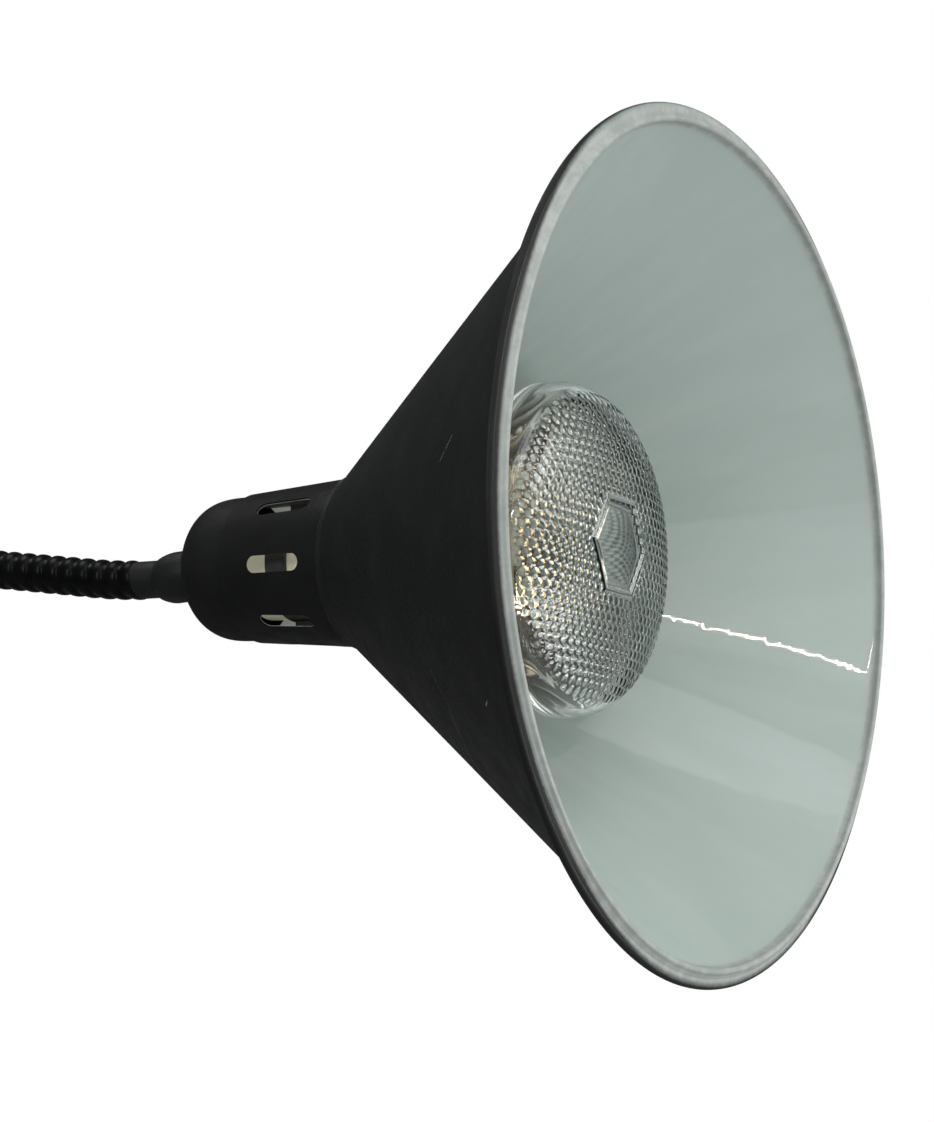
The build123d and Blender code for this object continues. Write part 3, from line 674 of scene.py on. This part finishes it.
def make_arm():
    hinges = [joint for joint in frame["joints"] if joint["name"].startswith("arm_")]
    lengths = [length_at(Vector(joint["pos_m"]) / MM) for joint in hinges]
    middles = [(a + b) / 2 for a, b in zip(lengths, lengths[1:])]
    cuts = [ARM_START_S] + middles + [RIBS_END_S]
    for k, joint in enumerate(hinges):
        piece = arm_skin(f"gooseneck_ribs_{k + 1}", cuts[k], cuts[k + 1])
        near = lengths[k] - min(BEND_REACH, lengths[k] - cuts[k] - 2.0)
        far = lengths[k] + min(BEND_REACH, cuts[k + 1] - lengths[k] - 2.0)
        replaced = [f"gooseneck_section_{k + 1}"]
        if k == len(hinges) - 1:
            replaced.append(f"gooseneck_section_{k + 2}")
        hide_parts(*replaced)
        start, end = arm_point(near)[0] * MM, arm_point(far)[0] * MM
        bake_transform(piece)


def length_at(point):
    """Length along the centre line of its point nearest to a place, in mm."""
    steps = np.arange(0, ARM_LENGTH, 0.25)
    return float(min(steps, key=lambda s: (arm_point(s)[0] - point).length))


def make_arm_sleeve():
    bore, outer, rear, front = 4.7, 7.35, -9.8, 9.9
    profile = [(bore, rear), (outer - 0.35, rear), (outer, rear + 0.4), (outer, 6.0)]
    profile += [(outer, front), (bore, front)]
    piece = lathe("arm_end_sleeve_turned", [(r, ARM_END_Z + z) for r, z in profile], LOOKS["black"], 96)
    lower(piece, 1.0, 1.0)
    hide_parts("arm_end_sleeve")
    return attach(piece, "head")


def lower(piece, front, rear):
    """Shifts a turned piece off the lamp's axis by a share of the arm's hang at each of its ends."""
    places = np.empty(len(piece.data.vertices) * 3)
    piece.data.vertices.foreach_get("co", places)
    places = places.reshape(-1, 3)
    z = (places - np.array(RIM_CENTRE)) @ np.array(LAMP_AXIS)
    share = front + (rear - front) * (z.max() - z) / (z.max() - z.min())
    places += np.outer(hang(share) * MM, np.array(UP))
    piece.data.vertices.foreach_set("co", places.ravel())
    piece.data.update()


def make_collar():
    """Turned collar between dome and arm: a step, a soft cone and a thin end round the arm."""
    r, end = COLLAR_R, COLLAR_END_Z
    profile = [(5.1, DOME_BACK_Z), (5.1, ARM_END_Z + 10.1), (7.45, ARM_END_Z + 10.1), (7.45, end + 0.2)]
    profile += [(7.7, end), (8.0, end + 0.15), (8.4, end + 0.8)]
    profile += [(8.9, end + 2.0), (r - 0.6, end + 3.6), (r - 0.2, end + 5.2), (r, end + 7.0)]
    profile += [(r, DOME_BACK_Z - 0.6), (r - 0.3, DOME_BACK_Z - 0.1), (r - 0.6, DOME_BACK_Z)]
    piece = lathe("arm_collar_turned", profile, LOOKS["black"], 128)
    lower(piece, 0.45, 1.0)
    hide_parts("arm_collar")
    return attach(piece, "head")


# ---- lamp: lens and reflector -------------------------------------------------------------------
BEAD_PITCH = 3.8
BEAD_HEIGHT = 0.5
BEADS_END_R = 56.3
WINDOW_R = 18.5
WINDOW_TURN = -9.0
LENS_SEGMENTS = 600
LENS_RINGS = 150
INNER_FACE_STEP = 5         # the smooth inner face has one ring for this many of the outer


def lens_z(radius):
    share = np.clip(radius / LAMP_R, 0, 1)
    return LENS_EDGE_Z + LENS_HEIGHT * np.clip(1 - share ** 2.3, 0, 1) ** 0.303


def hexagon_distance(x, y, size):
    """Distance outside (positive) or inside (negative) of a hexagon with corners at size."""
    apothem = size * math.cos(math.pi / 6)
    turn = math.radians(WINDOW_TURN)
    reach = np.full_like(x, -1e9)
    for k in range(6):
        a = turn + math.pi / 6 + k * math.pi / 3
        reach = np.maximum(reach, x * math.cos(a) + y * math.sin(a) - apothem)
    return reach


def bead_pattern(x, y):
    """Height of the pressed beads, on a triangular lattice set square to the window."""
    turn = math.radians(WINDOW_TURN)
    u = x * math.cos(turn) + y * math.sin(turn)
    v = -x * math.sin(turn) + y * math.cos(turn)
    nearest = np.full_like(x, 1e9)
    row_step = BEAD_PITCH * math.sqrt(3)
    for shift in (0.0, 0.5):
        du = u / BEAD_PITCH - shift
        dv = v / row_step - shift
        du = (du - np.round(du)) * BEAD_PITCH
        dv = (dv - np.round(dv)) * row_step
        nearest = np.minimum(nearest, du * du + dv * dv)
    reach = BEAD_PITCH / 2
    return np.clip(1 - nearest / reach ** 2, 0, 1)


def make_lens():
    """Pressed lens: a beaded, domed outer face with a raised hexagon, and a smooth inner face."""
    segments, rings = LENS_SEGMENTS, LENS_RINGS
    t = np.linspace(0, 1, rings)
    radius = LAMP_R * np.sin(t * math.pi / 2) ** 0.92
    radius[0] = 0.0
    angle = np.arange(segments) * (2 * math.pi / segments)
    r, a = np.meshgrid(radius, angle, indexing="ij")
    # places on the lens's face, in mm: right is the model's +Y, and up is the lamp's up
    right, up = r * np.cos(a), r * np.sin(a)
    window = hexagon_distance(right, up, WINDOW_R)
    pattern = bead_pattern(right, up)
    beaded = np.clip((BEADS_END_R - r) / 1.2, 0, 1) * np.clip((window - 1.8) / 0.8, 0, 1)
    ridge = np.exp(-((window - 0.4) / 1.4) ** 2) * 0.8
    sunk = np.clip(-window / 2.5, 0, 1) * -0.35
    step = 0.35 / (1 + np.exp(-(BEADS_END_R + 0.9 - r) * 4))
    z = lens_z(r) - 0.35 + step + BEAD_HEIGHT * pattern * beaded + ridge + sunk
    outer = np.stack([up, -right, z], -1).reshape(-1, 3)
    coarse = radius[::INNER_FACE_STEP]
    ri, ai = np.meshgrid(coarse * (LAMP_R - LENS_GLASS) / LAMP_R, angle, indexing="ij")
    rise = (lens_z(coarse) - LENS_EDGE_Z) * (1 - LENS_GLASS / LENS_HEIGHT)
    zi = LENS_EDGE_Z + np.repeat(rise[:, None], segments, axis=1)
    inner = np.stack([ri * np.sin(ai), -ri * np.cos(ai), zi], -1).reshape(-1, 3)
    inner_rows = len(coarse)
    faces_outer = weave_grid(rings, segments, False, True)
    faces_inner = weave_grid(inner_rows, segments, False, True)[:, ::-1] + len(outer)
    j = np.arange(segments)
    j2 = (j + 1) % segments
    last_outer = (rings - 1) * segments
    last_inner = len(outer) + (inner_rows - 1) * segments
    seat = np.stack([last_outer + j, last_inner + j, last_inner + j2, last_outer + j2], 1)
    matrix = np.array(LAMP_FRAME)
    points = np.concatenate([outer, inner]) * MM @ matrix[:3, :3].T + matrix[:3, 3]
    # painted shade: how dark each groove between the beads is drawn
    groove = beaded * np.clip(1 - pattern / 0.35, 0, 1)
    painted_groove_shade = np.concatenate([groove.ravel(), np.zeros(len(inner))]).astype(np.float32)
    faces = np.concatenate([faces_outer, faces_inner, seat])
    piece = add_object("lens_beaded", points, faces, LOOKS["glass"], 60)
    tags = piece.data.attributes.new("groove", "FLOAT", "POINT")
    tags.data.foreach_set("value", painted_groove_shade)
    merge_pole(piece)
    piece.data.shade_smooth()
    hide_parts("lamp_lens")
    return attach(piece, "lamp")


def make_reflector():
    reach = (LAMP_R ** 2 - GLASS_NECK_R ** 2) / (LENS_EDGE_Z - GLASS_NECK_Z)
    heights = GLASS_NECK_Z + (LENS_EDGE_Z - GLASS_NECK_Z) * np.linspace(0, 1, 60) ** 1.5
    wall = 2.0
    outer = [(math.sqrt(GLASS_NECK_R ** 2 + reach * (z - GLASS_NECK_Z)), z) for z in heights]
    outer[-1] = (LAMP_R, LENS_EDGE_Z - 0.02)
    inner = [(r - wall, z) for r, z in outer[::-1]]
    profile = [(12.5, CAP_TOP_Z), (14.5, CAP_TOP_Z)] + outer + inner + [(12.5, CAP_TOP_Z + 1)]
    piece = lathe("reflector_bowl", profile, LOOKS["mirror"], 256)
    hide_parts("lamp_reflector")
    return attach(piece, "lamp")


# ---- camera, lights and floor -------------------------------------------------------------------
CAMERA_AZIMUTH = math.radians(30.77)
CAMERA_LENS = 89.84         # on a 36 mm sensor
CAMERA_BACK = 0.9687
CAMERA_LEFT = 0.08546       # the rim's centre stands this far right of the view's middle
CAMERA_LOW = 0.0071         # and this far above it


def camera_directions():
    right = Vector((math.cos(CAMERA_AZIMUTH), math.sin(CAMERA_AZIMUTH), 0))
    back = Vector((math.sin(CAMERA_AZIMUTH), -math.cos(CAMERA_AZIMUTH), 0))
    return right, Vector((0, 0, 1)), back


def make_camera():
    right, up, back = camera_directions()
    data = bpy.data.cameras.new("camera")
    data.lens = CAMERA_LENS
    data.sensor_width = 36.0
    data.clip_end = 60
    camera = bpy.data.objects.new("camera", data)
    camera.location = RIM_CENTRE - right * CAMERA_LEFT - up * CAMERA_LOW + back * CAMERA_BACK
    camera.rotation_euler = (-back).to_track_quat("-Z", "Y").to_euler()
    scene.collection.objects.link(camera)
    scene.camera = camera


def new_light(name, size, power, colour):
    data = bpy.data.lights.new(name, "AREA")
    data.shape = "RECTANGLE"
    data.size, data.size_y = size
    data.energy = power
    data.color = colour
    light = bpy.data.objects.new(name, data)
    light.visible_camera = False
    scene.collection.objects.link(light)
    return light


def add_light(name, direction, distance, size, power, colour):
    """Area light seen from the object along a direction given as (right, up, back) of the camera."""
    right, up, back = camera_directions()
    towards = (right * direction[0] + up * direction[1] + back * direction[2]).normalized()
    light = new_light(name, size, power, colour)
    light.location = RIM_CENTRE - LAMP_AXIS * 0.1 + towards * distance
    light.rotation_euler = (-towards).to_track_quat("-Z", "Y").to_euler()


def add_tube(name, start, end, width, power, colour):
    """Long thin strip light between two places given as (right, up, back) from the rim, in metres."""
    right, up, back = camera_directions()
    ends = [RIM_CENTRE + right * p[0] + up * p[1] + back * p[2] for p in (start, end)]
    along = ends[1] - ends[0]
    middle = (ends[0] + ends[1]) / 2
    length = along.length
    along.normalize()
    across = (middle - RIM_CENTRE).cross(along).normalized()
    turn = Matrix((along, across, along.cross(across))).transposed()
    light = new_light(name, (length, width), power, colour)
    light.matrix_world = Matrix.Translation(middle) @ turn.to_4x4()


def make_lights():
    add_tube("tube_light", (0.54, 0.92, 2.30), (1.22, 1.31, 1.795), 0.012, 6.5, (1.0, 0.90, 0.76))
    add_light("small_lamp", (1.034, 2.034, -0.46), 2.33, (0.03, 0.03), 0.12, (1.0, 0.93, 0.8))
    add_light("side_softbox", (0.88, 0.40, 0.10), 2.2, (0.8, 0.8), 16, (1.0, 1.0, 0.98))
    add_light("low_fill", (0.88, -0.36, 0.30), 1.25, (0.9, 0.24), 6.8, (0.96, 0.99, 1.0))
    add_light("front_softbox", (0.55, 0.25, 0.85), 2.2, (1.3, 1.5), 8, (0.96, 0.99, 1.0))
    add_light("top_softbox", (0.15, 1.0, 0.35), 1.8, (1.8, 1.4), 17, (0.96, 0.99, 1.0))
    add_light("back_light", (-0.45, 0.85, -0.30), 2.0, (0.8, 0.8), 8, (1.0, 1.0, 0.97))
    add_light("left_window", (-0.62, 0.50, 0.70), 2.0, (0.9, 1.1), 17, (0.95, 0.98, 1.0))


def make_world():
    """White behind the object, and a dimmer room for what it reflects."""
    world = bpy.data.worlds.new("studio")
    scene.world = world
    world.use_nodes = True
    nodes, links = world.node_tree.nodes, world.node_tree.links
    nodes.clear()
    seen = nodes.new("ShaderNodeBackground")
    seen.inputs["Color"].default_value = (1, 1, 1, 1)
    room = nodes.new("ShaderNodeBackground")
    room.inputs["Color"].default_value = (0.93, 0.97, 1.0, 1)
    room.inputs["Strength"].default_value = 0.10
    path = nodes.new("ShaderNodeLightPath")
    mix = nodes.new("ShaderNodeMixShader")
    out = nodes.new("ShaderNodeOutputWorld")
    links.new(path.outputs["Is Camera Ray"], mix.inputs[0])
    links.new(room.outputs[0], mix.inputs[1])
    links.new(seen.outputs[0], mix.inputs[2])
    links.new(mix.outputs[0], out.inputs["Surface"])


FLOOR_DROP = 0.36           # the lamp is held by its base, and swings below it
FLOOR_REACH = 14.0


def make_floor():
    """Pale studio floor that fades into the white round the object."""
    material = bpy.data.materials.new("studio_floor")
    material.use_nodes = True
    nodes, links = material.node_tree.nodes, material.node_tree.links
    nodes.clear()
    place = nodes.new("ShaderNodeTexCoord")
    length = nodes.new("ShaderNodeVectorMath")
    length.operation = "LENGTH"
    fade = nodes.new("ShaderNodeMapRange")
    fade.interpolation_type = "SMOOTHSTEP"
    fade.inputs["From Min"].default_value = 0.5
    fade.inputs["From Max"].default_value = 2.6
    paint = nodes.new("ShaderNodeBsdfDiffuse")
    paint.inputs["Color"].default_value = (0.36, 0.36, 0.36, 1)
    path = nodes.new("ShaderNodeLightPath")

    def emission(unseen, seen):
        """Light given off, weaker for what only reflects it than for the camera."""
        made = nodes.new("ShaderNodeEmission")
        power = nodes.new("ShaderNodeMapRange")
        power.inputs["To Min"].default_value = unseen
        power.inputs["To Max"].default_value = seen
        links.new(path.outputs["Is Camera Ray"], power.inputs["Value"])
        links.new(power.outputs[0], made.inputs["Strength"])
        return made

    glow = emission(0.0, 0.95)
    far = emission(0.08, 1.0)
    add = nodes.new("ShaderNodeAddShader")
    mix = nodes.new("ShaderNodeMixShader")
    out = nodes.new("ShaderNodeOutputMaterial")
    links.new(place.outputs["Object"], length.inputs[0])
    links.new(length.outputs["Value"], fade.inputs["Value"])
    links.new(paint.outputs[0], add.inputs[0])
    links.new(glow.outputs[0], add.inputs[1])
    links.new(fade.outputs[0], mix.inputs[0])
    links.new(add.outputs[0], mix.inputs[1])
    links.new(far.outputs[0], mix.inputs[2])
    links.new(mix.outputs[0], out.inputs["Surface"])
    corners = [(x * FLOOR_REACH, y * FLOOR_REACH, 0) for x, y in ((-1, -1), (1, -1), (1, 1), (-1, 1))]
    floor = add_object("studio_floor", corners, [(0, 1, 2, 3)], material)
    middle = (cad_box[0] + cad_box[1]) / 2
    floor.location = (middle.x, middle.y, cad_box[0].z - FLOOR_DROP)


make_camera()
make_world()
make_lights()
make_floor()
dress_cad()
make_shade()
make_arm()
make_arm_sleeve()
make_collar()
make_lens()
make_reflector()
scene.view_settings.view_transform = "Standard"
